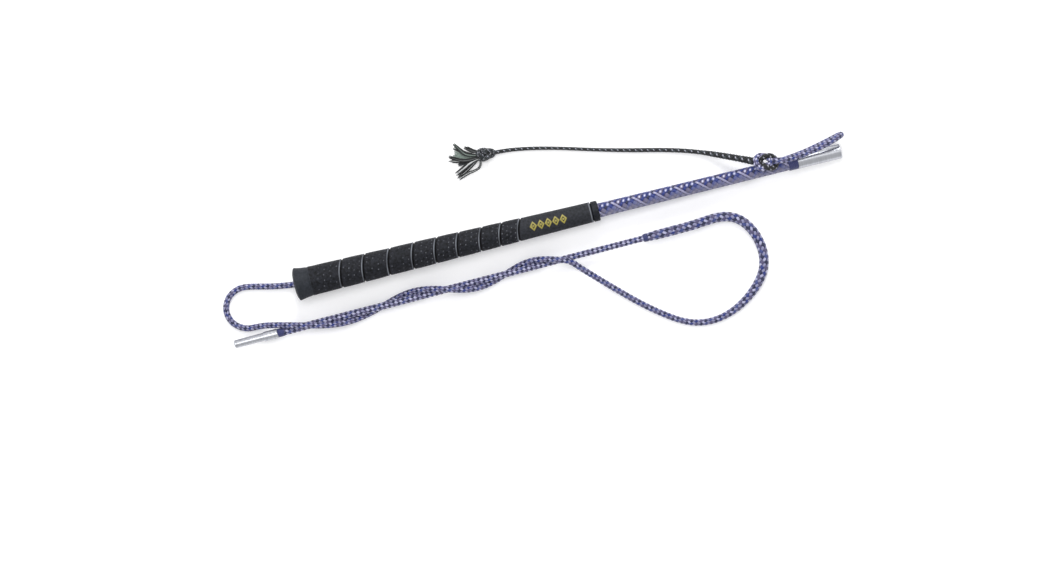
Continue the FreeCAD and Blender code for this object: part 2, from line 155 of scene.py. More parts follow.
def yarn(name, dark, light, roughness=0.38):
    """Flat braided yarn: filaments along the strand and colour that wanders along it."""
    material, nodes, links, shader = finish_of(name, roughness, specular=0.42, sheen=0.06)
    along = mapped(nodes, links, "UV", (0.35, 1.0, 1.0))
    wander = add(nodes, "ShaderNodeTexNoise", Scale=3.0, Detail=3.0, Roughness=0.6)
    links.new(along, wander.inputs["Vector"])
    shade = ramp(nodes, links, wander.outputs["Fac"], ((0.3, dark), (0.7, light)))
    # The marks paint a highlight and a reflection of the pale floor into the yarn's colour.
    shine, floor_reflection = marks(nodes, links)
    shade = blend(nodes, links, floor_reflection, shade, PAINTED_FLOOR_REFLECTION)
    shade = blend(nodes, links, shine, shade, PAINTED_HIGHLIGHT)
    links.new(shade, shader.inputs["Base Color"])
    across = mapped(nodes, links, "UV", (0.12, FILAMENTS, 1.0))
    threads = add(
        nodes, "ShaderNodeTexWave", Scale=1.0, Distortion=1.2, Detail=2.0,
        set_bands_direction="Y", set_wave_type="BANDS",
    )
    links.new(across, threads.inputs["Vector"])
    bump(nodes, links, threads.outputs["Fac"], shader, strength=0.5, distance=0.00012)
    return material


NAVY = yarn("yarn_navy", colour(12, 16, 44), colour(30, 36, 78))
ROYAL = yarn("yarn_royal", colour(20, 34, 96), colour(38, 54, 128), 0.32)
BLUE = yarn("yarn_blue", colour(42, 52, 106), colour(70, 80, 136), 0.34)
VIOLET = yarn("yarn_violet", colour(58, 55, 88), colour(90, 85, 120), 0.36)
HEATHER = yarn("yarn_heather", colour(98, 98, 134), colour(150, 150, 182), 0.34)
LILAC = yarn("yarn_lilac", colour(118, 118, 156), colour(180, 180, 208), 0.34)
TRACER = yarn("yarn_tracer", colour(108, 107, 140), colour(160, 158, 186), 0.4)
BLACK = yarn("yarn_black", colour(12, 14, 15), colour(30, 33, 36), 0.45)
SLATE = yarn("yarn_slate", colour(38, 44, 48), colour(70, 77, 82), 0.42)
CHALK = yarn("yarn_chalk", colour(68, 71, 72), colour(112, 115, 116), 0.42)
WHITE = yarn("yarn_white", colour(186, 189, 190), colour(226, 228, 228), 0.45)
SAGE = yarn("yarn_sage", colour(96, 110, 104), colour(142, 156, 148), 0.5)
THREAD = yarn("thread_blue", colour(36, 42, 86), colour(70, 74, 124), 0.35)


def rubber(name, dark, light, roughness, fine):
    """Moulded rubber with a fine tooth and cloudy wear: the material, its nodes and its shade."""
    material, nodes, links, shader = finish_of(name, roughness, specular=0.14)
    place = mapped(nodes, links, "Object", (1.0, 1.0, 1.0))
    cloud = add(nodes, "ShaderNodeTexNoise", Scale=460.0, Detail=6.0, Roughness=0.7)
    links.new(place, cloud.inputs["Vector"])
    shade = ramp(nodes, links, cloud.outputs["Fac"], ((0.38, dark), (0.66, light)))
    links.new(shade, shader.inputs["Base Color"])
    tooth = add(nodes, "ShaderNodeTexNoise", Scale=fine, Detail=4.0, Roughness=0.6)
    links.new(place, tooth.inputs["Vector"])
    bump(nodes, links, tooth.outputs["Fac"], shader, strength=0.55, distance=0.00018)
    return material, nodes, links, shader, shade


CAP_RUBBER = rubber("cap_rubber", colour(31, 34, 39), colour(43, 46, 53), 0.55, 900.0)[0]
COLLAR_RUBBER = rubber("collar_rubber", colour(16, 18, 23), colour(32, 35, 42), 0.5, 900.0)[0]


def grip_rubber():
    """The sleeve's rubber: painted highlights along the raised edges of its turns, paler pinholes
    (partly dust, partly painted highlight) and painted shade in its grooves.
    """
    material, nodes, links, shader, shade = rubber(
        "grip_rubber", colour(9, 10, 13), colour(36, 38, 45), 0.6, 700.0
    )
    highlight_and_dust, groove_shade = marks(nodes, links)
    # Painted shade at the bottom of each groove.
    shade = blend(nodes, links, groove_shade, shade, colour(3, 3, 4))
    # Painted highlights along the rims, and paler pinholes that are partly dust and partly painted
    # highlight.
    shade = blend(nodes, links, highlight_and_dust, shade, colour(160, 164, 174))
    links.new(shade, shader.inputs["Base Color"])
    return material


GRIP_RUBBER = grip_rubber()


def metal(name, tint, roughness):
    """Satin metal, brushed round."""
    material, nodes, links, shader = finish_of(name, roughness, specular=0.5, metallic=1.0)
    place = mapped(nodes, links, "Object", (2400.0, 60.0, 60.0))
    brush = add(nodes, "ShaderNodeTexNoise", Scale=1.0, Detail=3.0, Roughness=0.5)
    links.new(place, brush.inputs["Vector"])
    bright = tuple(min(1.0, c * 1.18) for c in tint[:3]) + (1.0,)
    dull = tuple(c * 0.78 for c in tint[:3]) + (1.0,)
    shade = ramp(nodes, links, brush.outputs["Fac"], ((0.3, dull), (0.7, bright)))
    links.new(shade, shader.inputs["Base Color"])
    bump(nodes, links, brush.outputs["Fac"], shader, strength=0.25, distance=0.00003)
    return material


FERRULE = metal("ferrule_metal", colour(176, 178, 184), roughness=0.3)


def plain(name, dark, light, roughness, scale, specular=0.5):
    """A solid material with a light mottle and a fine surface."""
    material, nodes, links, shader = finish_of(name, roughness, specular)
    place = mapped(nodes, links, "Object", (1.0, 1.0, 1.0))
    mottle = add(nodes, "ShaderNodeTexNoise", Scale=scale, Detail=5.0, Roughness=0.6)
    links.new(place, mottle.inputs["Vector"])
    shade = ramp(nodes, links, mottle.outputs["Fac"], ((0.3, dark), (0.7, light)))
    links.new(shade, shader.inputs["Base Color"])
    bump(nodes, links, mottle.outputs["Fac"], shader, strength=0.3, distance=0.0001)
    return material


GLASS_FIBRE = plain("glass_fibre", colour(196, 190, 160), colour(220, 214, 188), 0.4, 500.0)
MOUNTING_TAPE = plain("mounting_tape", colour(196, 192, 176), colour(216, 212, 198), 0.7, 350.0)
GOLD_PAINT = plain("gold_paint", colour(120, 110, 38), colour(158, 146, 62), 0.45, 900.0)
OLIVE_PAINT = plain("olive_paint", colour(78, 74, 30), colour(98, 92, 40), 0.5, 900.0)
FLOOR_WHITE = plain("floor_white", colour(247, 247, 248), colour(250, 250, 251), 0.9, 6.0, 0.1)
floor_shader = FLOOR_WHITE.node_tree.nodes["Principled BSDF"]
floor_shader.inputs["Emission Color"].default_value = (1.0, 1.0, 1.0, 1.0)
floor_shader.inputs["Emission Strength"].default_value = 0.12


# ---------------------------------------------------------------------------- mesh making


def line_of(points, closed=False):
    """The smooth line that a route's NURBS spline draws, as points in millimetres."""
    curve = bpy.data.curves.new("route", "CURVE")
    curve.dimensions = "3D"
    curve.resolution_u = 14
    spline = curve.splines.new("NURBS")
    spline.points.add(len(points) - 1)
    for point, place in zip(spline.points, points):
        point.co = (place[0] * MM, place[1] * MM, place[2] * MM, 1.0)
    spline.order_u = 3
    if closed:
        spline.use_cyclic_u = True
    else:
        spline.use_endpoint_u = True
    holder = bpy.data.objects.new("route", curve)
    drawn = bpy.data.meshes.new_from_object(holder)
    line = np.array([vertex.co[:] for vertex in drawn.vertices]) / MM
    bpy.data.objects.remove(holder)
    bpy.data.curves.remove(curve)
    bpy.data.meshes.remove(drawn)
    return np.vstack([line, line[:1]]) if closed else line


class Rail:
    """Even points along a line, each with a tangent and two directions across it."""

    def __init__(self, line, step):
        gaps = np.linalg.norm(np.diff(line, axis=0), axis=1)
        keep = np.r_[True, gaps > 1e-6]
        line = line[keep]
        reach = np.r_[0.0, np.cumsum(np.linalg.norm(np.diff(line, axis=0), axis=1))]
        self.length = reach[-1]
        count = max(4, int(round(self.length / step)) + 1)
        self.along = np.linspace(0.0, self.length, count)
        self.points = np.stack([np.interp(self.along, reach, line[:, k]) for k in range(3)], 1)
        tangents = np.gradient(self.points, self.along, axis=0)
        self.tangents = tangents / np.linalg.norm(tangents, axis=1)[:, None]
        across = np.array((0.0, 0.0, 1.0))
        rows = []
        for tangent in self.tangents:
            across = across - tangent * across.dot(tangent)
            across = across / np.linalg.norm(across)
            rows.append(across)
        self.across = np.array(rows)
        self.over = np.cross(self.tangents, self.across)


def straight(start, end, place):
    """A Rail's line along a half's own axis, from its place matrix."""
    ends = np.array([place @ Vector((start, 0, 0)), place @ Vector((end, 0, 0))])
    share = np.linspace(0, 1, 8)[:, None]
    return ends[0] * (1 - share) + ends[1] * share


def hill(place, middle, spread, power=2):
    """A smooth hill, one high at its middle."""
    return np.exp(-(((place - middle) / spread) ** power))


def tube_grid(points, tangents, out, width, height, sides, square=1.0):
    """Rings of points round a strand whose flat side faces out, boxier when square is below one."""
    side = np.cross(tangents, out)
    side /= np.linalg.norm(side, axis=1)[:, None]
    turns = np.arange(sides) * 2 * math.pi / sides
    c, s = np.cos(turns), np.sin(turns)
    c, s = np.sign(c) * np.abs(c) ** square, np.sign(s) * np.abs(s) ** square
    width, height = np.broadcast_to(width, len(points)), np.broadcast_to(height, len(points))
    return (
        points[:, None]
        + out[:, None] * (height[:, None, None] / 2) * c[None, :, None]
        + side[:, None] * (width[:, None, None] / 2) * s[None, :, None]
    )


# How a braid's strands lie: how sharply they pass from under to over, how much wider they are
# when they are over, how boxy they are, and how far in the dark core is, in thicknesses.
PASS_SHARPNESS, OVER_WIDENING, STRAND_SQUARE, CORE_DEPTH = 1.6, 0.1, 0.8, 1.15
# The powers that keep a strand's shine narrow: across it, and along each pick.
CROWN_POWER, CREST_POWER = 4, 5
# A tracer's lift where it floats, in thicknesses, its width, and how much it narrows there.
TRACER_LIFT, TRACER_WIDTH, TRACER_NARROWING = 0.56, 0.74, 0.14
# The stick of the handle half shines in two rows: (how far to the +Y side, spread, strength).
LIT_ROWS = ((0.52, 0.18, 1.0), (0.15, 0.14, 0.45))


def floating(out):
    """How much a tracer floats over the strands beside it, on the stick's upper side."""
    return np.clip(2.3 - 2.4 * np.abs(out[:, 1] + 0.1), 0, 1) * (out[:, 2] > 0)


def stick_marks(out, way, tracer, crest, crown):
    """The marks of one of the stick's strands: its painted highlights, and a painted reflection of
    the pale floor that makes the -Y side paler.
    """
    # Painted highlights of the picks, in rows on the +Y side.
    lit = sum(strength * hill(out[:, 1], row, spread) for row, spread, strength in LIT_ROWS)
    shine = lit * (0.0 if way < 0 else 0.5 if tracer else 1.0)
    floor_reflection = 0.1 if tracer else 0.62 if way > 0 else 0.4
    # A painted reflection of the pale floor makes the -Y side paler.
    reflecting_side = np.clip(-0.1 - 2.2 * out[:, 1], 0, 1)
    return (crest * shine)[:, None] * crown, floor_reflection * reflecting_side[:, None]


def braid(
    rail, radius, pick, carriers, leading, trailing, width=(0.66, 0.68), height=0.36, sides=8,
    painted_light=False, crest_highlit=(), dot=0.9, start_angle=0.0,
):
    """The strands of a one-over-one tubular braid: patches of (grid, material, marks).

    radius and pick (the length of one over-and-under) are numbers or one for each point of the
    rail. leading and trailing are the colours of the strands that wind each way, in order. width
    is the share of its room that a strand of each way fills, and height its thickness as a share
    of that room. Strands of a colour in crest_highlit get a painted highlight at the top of each
    pick, as strong as dot says. A braid with painted_light set is the handle half's stick, with
    painted highlights in rows on its +Y side and a painted reflection of the pale floor on its -Y
    side."""
    radius = np.broadcast_to(radius, len(rail.along)).astype(float)
    pick = np.broadcast_to(pick, len(rail.along)).astype(float)
    half = carriers // 2
    pitch = pick * half
    steps = np.diff(rail.along, prepend=0.0)
    wind = np.cumsum(steps * 2 * math.pi / pitch)
    lean = np.arctan2(2 * math.pi * radius, pitch)
    room = 2 * math.pi * radius / half * np.cos(lean)
    thick = height * room
    smooth_lift = np.cos(half * wind)
    lift = np.tanh(PASS_SHARPNESS * smooth_lift) / np.tanh(PASS_SHARPNESS)
    crown = np.clip(np.cos(np.arange(sides) * 2 * math.pi / sides), 0, 1) ** CROWN_POWER
    patches = []
    for way, colours, share in ((1, leading, width[0]), (-1, trailing, width[1])):
        for strand in range(half):
            material = colours[strand % len(colours)]
            angle = way * wind + strand * 2 * math.pi / half + start_angle
            out = rail.across * np.cos(angle)[:, None] + rail.over * np.sin(angle)[:, None]
            reach = radius - thick + way * lift * thick / 2
            swell = 1.0 + OVER_WIDENING * way * lift
            tracer = material is TRACER
            if tracer:
                floats = floating(out)
                reach = np.maximum(reach, radius - thick * (1.0 - TRACER_LIFT * floats))
                swell = TRACER_WIDTH - TRACER_NARROWING * floats
            points = rail.points + out * reach[:, None]
            tangents = np.gradient(points, rail.along, axis=0)
            tangents /= np.linalg.norm(tangents, axis=1)[:, None]
            flat = out - tangents * np.sum(out * tangents, axis=1)[:, None]
            flat /= np.linalg.norm(flat, axis=1)[:, None]
            grid = tube_grid(
                points, tangents, flat, room * share * swell, thick, sides, STRAND_SQUARE
            )
            signs = np.zeros(grid.shape[:2] + (2,))
            crest = np.clip(way * smooth_lift, 0, 1) ** CREST_POWER
            # A painted highlight at the top of each pick of these strands.
            if material in crest_highlit:
                signs[:, :, 0] = dot * crest[:, None] ** 0.6 * crown
            # The stick gets painted highlights and a painted reflection of the pale floor instead.
            if painted_light:
                signs[:, :, 0], signs[:, :, 1] = stick_marks(out, way, tracer, crest, crown)
            patches.append((grid, material, signs))
    core = 2 * (radius - CORE_DEPTH * thick)
    patches.append((tube_grid(rail.points, rail.tangents, rail.across, core, core, 10), NAVY))
    return patches


def piece(name, patches, body, stands_for):
    """One mesh from patches: grids of points, rows along and columns round, each with a material
    and, where it has them, two marks for every point. It replaces the CAD nodes it stands for."""
    materials, verts, faces, layers, paints, signs = [], [], [], [], [], []
    count = 0
    for grid, material, *given in patches:
        if material not in materials:
            materials.append(material)
        rows, columns = grid.shape[:2]
        sign = np.zeros((rows, columns, 4))
        sign[:, :, 3] = 1.0
        if given:
            sign[:, :, :2] = given[0]
        signs.append(sign.reshape(-1, 4))
        index = count + np.arange(rows * columns).reshape(rows, columns)
        beside = np.roll(index, -1, axis=1)
        quads = np.stack([index[:-1], beside[:-1], beside[1:], index[1:]], -1).reshape(-1, 4)
        middle = grid.mean(axis=1)
        reach = np.r_[0.0, np.cumsum(np.linalg.norm(np.diff(middle, axis=0), axis=1))]
        start = chance.uniform(0, 40)
        u0 = np.repeat(reach[:-1] + start, columns)
        u1 = np.repeat(reach[1:] + start, columns)
        v0 = np.tile(np.arange(columns) / columns, rows - 1)
        v1 = v0 + 1.0 / columns
        corners = ((u0, v0), (u0, v1), (u1, v1), (u1, v0))
        layers.append(np.stack([np.stack(corner, 1) for corner in corners], 1).reshape(-1, 2))
        verts.append(grid.reshape(-1, 3))
        faces.append(quads)
        paints.append(np.full(len(quads), materials.index(material)))
        count += rows * columns
    verts, faces = np.vstack(verts) * MM, np.vstack(faces)
    mesh = bpy.data.meshes.new(name)
    mesh.vertices.add(len(verts))
    mesh.vertices.foreach_set("co", verts.ravel())
    mesh.loops.add(faces.size)
    mesh.loops.foreach_set("vertex_index", faces.ravel().astype(np.int32))
    mesh.polygons.add(len(faces))
    mesh.polygons.foreach_set("loop_start", (np.arange(len(faces)) * 4).astype(np.int32))
    mesh.polygons.foreach_set("material_index", np.concatenate(paints).astype(np.int32))
    mesh.polygons.foreach_set("use_smooth", np.ones(len(faces), bool))
    layer = mesh.uv_layers.new(name="strand")
    layer.data.foreach_set("uv", np.vstack(layers).ravel().astype(np.float32))
    painted = mesh.attributes.new("marks", "FLOAT_COLOR", "POINT")
    painted.data.foreach_set("color", np.vstack(signs).ravel().astype(np.float32))
    for material in materials:
        mesh.materials.append(material)
    mesh.update(calc_edges=True)
    mesh.validate()
    obj = bpy.data.objects.new(name, mesh)
    scene.collection.objects.link(obj)
    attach(obj, body)
    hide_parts(*stands_for)
    return obj


def moved(grid, place):
    """A grid of a half's own points, put where the half lies."""
    turned = np.array(place.to_3x3())
    return grid @ turned.T + np.array(place.translation)


def lathe(profile, place, sides=96):
    """A grid turned round a half's axis from (along, radius) rows."""
    turns = np.arange(sides) * 2 * math.pi / sides
    grid = np.zeros((len(profile), sides, 3))
    for row, (along, radius) in enumerate(profile):
        grid[row, :, 0] = along
        grid[row, :, 1] = -radius * np.cos(turns)
        grid[row, :, 2] = radius * np.sin(turns)
    return moved(grid, place)


EASE_STEPS = 6


def rounded(corners):
    """A profile of (along, radius) rows from (along, radius, ease) corners."""
    rows = []
    for number, (along, radius, ease) in enumerate(corners):
        here = np.array((along, radius))
        if ease <= 0 or number in (0, len(corners) - 1):
            rows.append(here)
            continue
        before = np.array(corners[number - 1][:2]) - here
        after = np.array(corners[number + 1][:2]) - here
        a = here + before / np.linalg.norm(before) * ease
        b = here + after / np.linalg.norm(after) * ease
        for share in np.linspace(0, 1, EASE_STEPS):
            rows.append((1 - share) ** 2 * a + 2 * share * (1 - share) * here + share**2 * b)
    return rows


handle_place = Matrix.Rotation(math.radians(PITCH), 4, "Y")
tip_place = Matrix.Translation((TIP_START, TIP_SIDE, FLOOR + TIP_HEIGHT)) @ Matrix.Rotation(
    math.radians(TIP_YAW), 4, "Z"
)


# ---------------------------------------------------------------------------- cord routes


def raised(route):
    """A route whose heights are above the surface, in the row frame."""
    return [(x, y, FLOOR + height) for x, y, height in route]


lash_loop = [
    (321.9, -31.56, 8.5), (335.0, -31.38, 8.5), (347.5, -30.5, 7.2), (359.5, -29.5, 5.2),
    (370.5, -30.6, 4.2), (380.0, -35.6, 3.95), (387.0, -44.5, 3.95), (391.3, -55.5, 3.95),
    (392.9, -68.0, 3.95), (390.2, -80.8, 3.95), (382.7, -91.8, 3.9), (372.3, -101.0, 3.7),
    (360.5, -108.2, 3.5), (347.5, -112.8, 3.2), (334.0, -114.2, 2.7), (321.0, -112.0, 2.5),
    (308.8, -106.2, 2.5), (296.5, -97.6, 2.5), (282.0, -85.9, 2.6), (266.5, -71.3, 3.3),
    (251.5, -56.5, 6.0), (240.0, -45.2, 10.4),
]
lash_run = [
    (-29.0, -27.8, 7.6), (-39.0, -26.6, 4.2), (-50.0, -26.4, 2.7), (-60.2, -19.2, 2.45),
    (-63.5, -7.1, 2.45), (-58.2, 4.2, 2.45), (-46.9, 9.5, 2.45), (-34.1, 7.2, 2.45),
    (-16.6, 2.8, 2.45), (8.0, -0.4, 2.45), (45.0, -2.5, 2.45), (95.0, -4.1, 2.45),
    (150.0, -4.9, 2.45), (205.0, -4.8, 2.45), (260.0, -3.7, 2.45), (315.0, -1.9, 2.45),
    (365.0, 0.3, 2.45), (410.0, 2.8, 2.45),
]
lash_turn = [
    (443.0, 5.7, 2.45), (461.5, 9.4, 2.7), (471.0, 11.7, 4.4), (477.6, 13.4, 8.4),
    (480.0, 13.6, 13.6), (477.4, 12.5, 19.6), (470.6, 10.2, 23.2), (461.0, 7.6, 23.6),
    (449.0, 5.3, 23.2), (436.5, 3.9, 24.2), (426.0, 3.5, 25.6), (417.5, 5.2, 24.9),
]
lash_eye = [
    (416.6, 5.4, 23.6), (413.2, 10.4, 19.6), (408.0, 12.8, 18.0), (403.8, 10.4, 19.6),
    (403.2, 5.6, 21.0), (406.2, 1.0, 22.3), (411.8, 1.0, 22.9),
]
cracker_eye = [
    (406.9, 7.2, 17.8), (409.0, 9.9, 20.0), (413.4, 11.2, 23.6), (418.0, 9.6, 22.6),
    (420.8, 5.4, 20.9), (419.6, 0.8, 21.0), (415.4, -0.8, 23.2), (411.2, 0.9, 26.0),
    (408.6, 3.9, 22.0),
]
cracker_line = [
    (403.6, 8.4, 16.4), (393.5, 13.2, 14.0), (384.0, 17.6, 10.5), (374.5, 21.9, 6.6),
    (363.5, 26.7, 3.8), (349.0, 32.0, 2.2), (330.0, 37.4, 1.8), (300.0, 44.3, 1.8),
    (272.0, 51.8, 1.8), (247.0, 59.2, 1.8), (224.0, 64.9, 1.8), (207.0, 67.9, 1.8),
    (197.0, 68.9, 2.2), (188.5, 69.2, 3.6),
]

THIN_LASH = 4.9
TIP_BRAID_START, TIP_LENGTH = 38.0, 384.0
TIP_THICK, TIP_THIN = 3.3, 2.45


def tip_radius(along):
    """The tip half's braided radius at a distance from its spigot's free end."""
    share = (along - TIP_BRAID_START) / (TIP_LENGTH - TIP_BRAID_START)
    return TIP_THICK + (TIP_THIN - TIP_THICK) * min(max(share, 0.0), 1.0)


def tip_axis(along):
    """The side position of the tip half's axis and its radius at a place along the row."""
    local = along - TIP_START
    return TIP_SIDE + local * math.tan(math.radians(TIP_YAW)), tip_radius(local)


# The lash winds round the tip half: the X of its crossings, first over the stick, then under it,
# and so on. It comes from the first and heads for the last, but reaches neither.
CROSSINGS = (270.9, 223.2, 175.5, 124.5, 68.0, 2.5, -63.0)
WRAP_HALVES, HALF_POINTS = 4, 6
WRAP_GAP = 0.25
lash_wraps = []
for count in range(-1, WRAP_HALVES * HALF_POINTS + 2):
    half, share = count // HALF_POINTS, (count % HALF_POINTS) / HALF_POINTS
    before, after = CROSSINGS[half + 1 : half + 3]
    place = before + (after - before) * share
    angle = math.radians(90 - 180 * count / HALF_POINTS)
    side, radius = tip_axis(place)
    swing = radius + THIN_LASH / 2 + WRAP_GAP
    lash_wraps.append((place, side + swing * math.cos(angle), TIP_HEIGHT + swing * math.sin(angle)))

lash_line = line_of(raised(lash_loop + lash_wraps + lash_run + lash_turn))
cracker_path = line_of(raised(cracker_line))


# ---------------------------------------------------------------------------- lash and cracker

# The lash and its sleeve over the stick's tip are braided alike, with a painted highlight at the
# top of each LILAC pick.
LASH_YARNS = dict(
    carriers=12, leading=(LILAC, HEATHER, HEATHER),
    trailing=(NAVY, VIOLET, BLUE, NAVY, VIOLET, ROYAL), width=(0.66, 0.82), height=0.24,
    crest_highlit=(LILAC,), dot=0.25,
)

lash_rail = Rail(lash_line, 0.62)
lash_radius = np.interp(lash_rail.along, (0, 95, 125, 160, 200), (4.1, 4.1, 3.8, 2.92, 2.65))
lash_pick = np.interp(lash_rail.along, (0, 95, 200), (4.8, 4.8, 4.0))
lash = piece(
    "lash",
    braid(lash_rail, lash_radius, lash_pick, **LASH_YARNS),
    "tip_half",
    ("lash_thick", "lash_taper", "lash_loop", "lash_wraps", "lash_bight", "lash_under_handle",
     "lash_turn"),
)
eye_rail = Rail(line_of(raised(lash_eye), closed=True), 0.6)
eye = piece(
    "lash_end_eye",
    braid(
        eye_rail, 2.6, 3.6, 12, (LILAC, HEATHER, LILAC), (NAVY, BLUE, VIOLET), width=(0.7, 0.8),
        height=0.3, crest_highlit=(LILAC,),
    ),
    "tip_half",
    ("lash_eye",),
)

cracker_rail = Rail(cracker_path, 0.4)
cracker_radius = np.interp(
    cracker_rail.along,
    (0, 6, 14, 22, 36, 48, 66, 100, 134, 168, 205, 226),
    (3.4, 3.3, 3.0, 2.95, 2.65, 2.05, 1.95, 1.95, 1.62, 1.52, 1.7, 1.95),
)
cracker_pick = np.interp(cracker_rail.along, (0, 60, 90), (2.8, 2.8, 2.55))
cracker = piece(
    "cracker",
    braid(
        cracker_rail, cracker_radius, cracker_pick, 8, (CHALK, BLACK), (BLACK, SLATE, BLACK, BLACK),
        sides=6, width=(0.52, 0.86), height=0.3, crest_highlit=(CHALK,), dot=0.85,
    ),
    "tip_half",
    ("cracker_splice", "cracker_cord"),
)
cracker_eye_rail = Rail(line_of(raised(cracker_eye), closed=True), 0.4)
cracker_loop = piece(
    "cracker_end_eye",
    braid(
        cracker_eye_rail, 2.3, 2.6, 8, (CHALK, BLACK, CHALK, BLACK), (BLACK, BLACK), sides=6,
        width=(0.6, 0.84), crest_highlit=(CHALK,),
    ),
    "tip_half",
    ("cracker_eye",),
)

# The cracker ends in an overhand knot drawn into a ball: a trefoil line with a size each way.
KNOT_CENTRE, KNOT_YAW = (183.4, 69.5, FLOOR + 5.1), -3.0
KNOT_LONG, KNOT_WIDE, KNOT_TALL, KNOT_SHIFT = 2.5, 1.42, 3.1, 0.6
turns = np.linspace(0, 2 * math.pi, 241)
lobes = 2 + np.cos(3 * turns)
knot_line = np.stack(
    [
        KNOT_LONG * lobes * np.cos(2 * turns) - KNOT_SHIFT,
        KNOT_WIDE * lobes * np.sin(2 * turns),
        KNOT_TALL * np.sin(3 * turns),
    ],
    1,
)
knot_place = Matrix.Translation(KNOT_CENTRE) @ Matrix.Rotation(math.radians(KNOT_YAW), 4, "Z")
knot_rail = Rail(moved(knot_line, knot_place), 0.4)
knot = piece(
    "cracker_ball_knot",
    braid(
        knot_rail, 2.05, 1.3, 12, (SLATE, BLACK, CHALK), (BLACK, BLACK, SLATE), sides=6,
        width=(0.94, 0.9), crest_highlit=(CHALK,),
    ),
    "tip_half",
    ("cracker_knot",),
)

# The unravelled end: flat tapes of fibres with dark edges. Each has its line, its widths along it,
# and the colours of its edges and its middle. Its edges start at TAPE_EDGE of its half width. No
# fibre lies lower than FIBRE_REST above FLOOR.
TAPE_FIBRES, TAPE_EDGE, FIBRE_REST = 22, 0.36, 0.25
FIBRE_WIDTHS, EDGE_WIDENING, FIBRE_FLATNESS = (0.34, 0.32, 0.14), 1.35, 0.7
tapes = [
    ([(177.0, 69.8, 5.6), (169.5, 71.6, 6.2), (164.5, 75.4, 5.0), (158.2, 85.9, 2.0)],
     (2.0, 3.6, 1.8), BLACK, SAGE),
    ([(176.0, 69.4, 4.4), (167.8, 71.0, 4.6), (161.4, 74.8, 3.4), (156.2, 77.4, 1.3)],
     (2.0, 4.6, 6.8), SAGE, SAGE),
    ([(176.6, 70.2, 5.0), (168.6, 73.0, 5.0), (162.6, 78.0, 3.6), (157.6, 82.6, 1.4)],
     (1.6, 2.6, 4.2), BLACK, SAGE),
    ([(180.0, 72.6, 6.0), (174.5, 73.6, 6.4), (170.8, 76.4, 5.4), (166.4, 79.8, 3.4)],
     (1.8, 3.2, 2.4), BLACK, CHALK),
    ([(179.0, 72.0, 4.0), (174.2, 74.8, 4.2), (171.6, 76.8, 3.6), (168.6, 79.6, 2.6)],
     (1.6, 2.4, 1.8), BLACK, SLATE),
    ([(176.0, 68.0, 6.0), (167.0, 67.4, 5.2), (157.0, 71.4, 3.4), (151.4, 75.9, 2.6)],
     (1.8, 2.8, 1.5), BLACK, CHALK),
    ([(175.6, 66.8, 4.0), (167.6, 67.0, 3.6), (160.0, 68.6, 2.2), (150.6, 71.9, 1.4)],
     (1.8, 2.8, 1.7), BLACK, WHITE),
    ([(175.2, 67.4, 3.0), (168.8, 67.0, 2.6), (163.2, 66.6, 1.7), (157.7, 66.0, 0.9)],
     (1.6, 2.2, 2.4), SLATE, BLACK),
    ([(177.4, 67.0, 5.8), (170.0, 66.2, 5.4), (163.0, 62.2, 3.6), (153.7, 58.3, 1.6)],
     (2.0, 4.2, 3.4), BLACK, WHITE),
    ([(178.0, 65.6, 4.4), (177.2, 60.6, 4.0), (172.0, 58.0, 2.8), (164.0, 57.4, 2.2),
      (154.6, 54.0, 1.1)],
     (1.4, 2.0, 3.4), BLACK, WHITE),
    ([(175.6, 66.6, 2.8), (169.4, 62.6, 2.4), (162.4, 58.4, 1.5), (155.0, 55.6, 0.9)],
     (1.6, 2.6, 2.6), BLACK, WHITE),
]
fibres = []
for route, widths, edge, middle in tapes:
    tape_rail = Rail(line_of(raised(route)), 0.6)
    share = tape_rail.along / tape_rail.length
    width = np.interp(share, (0, 0.5, 1), widths)
    side = np.cross(tape_rail.tangents, (0, 0, 1.0))
    side /= np.linalg.norm(side, axis=1)[:, None]
    for number in range(TAPE_FIBRES):
        offset = (number + 0.5) / TAPE_FIBRES * 2 - 1
        stop = int(len(share) * chance.uniform(0.86, 1.0))
        drift = chance.normal(0, 0.26) * share**2 + chance.normal(0, 0.08) * np.sin(share * 9)
        heave = -0.15 * math.cos(offset * 1.5) + chance.normal(0, 0.22) * share
        points = tape_rail.points + side * (offset * width / 2 + drift)[:, None]
        points[:, 2] = np.maximum(points[:, 2] + heave, FLOOR + FIBRE_REST)
        points = points[:stop]
        tangents = np.gradient(points, axis=0)
        tangents /= np.linalg.norm(tangents, axis=1)[:, None]
        out = np.array((0, 0, 1.0)) - tangents * tangents[:, 2:3]
        out /= np.linalg.norm(out, axis=1)[:, None]
        outer = abs(offset) > TAPE_EDGE or number % 9 == 4
        fine = np.interp(share[:stop], (0, 0.85, 1), FIBRE_WIDTHS)
        fine = fine * (EDGE_WIDENING if outer else 1.0)
        grid = tube_grid(points, tangents, out, fine, fine * FIBRE_FLATNESS, 4)
        fibres.append((grid, edge if outer else middle))
tassel = piece("cracker_tassel", fibres, "tip_half", ("tassel",))


# ---------------------------------------------------------------------------- handle half

# STICK_ROW turns the stick's braid so that a row of its picks lies where the light falls.
BRAID_START, BRAID_END = 264.0, 440.0
STICK_ROW = 13.7
stick_rail = Rail(straight(BRAID_START, BRAID_END, handle_place), 0.56)
stick_radius = np.interp(stick_rail.along, (0, BRAID_END - BRAID_START), (6.1, 5.5))
piece(
    "handle_stick_braid",
    braid(
        stick_rail, stick_radius, 4.6, 16, (TRACER, BLUE, ROYAL, VIOLET),
        (ROYAL, NAVY, ROYAL, VIOLET), width=(1.0, 0.66), height=0.24, painted_light=True,
        start_angle=math.radians(STICK_ROW),
    ),
    "handle_half",
    ("handle_braid",),
)

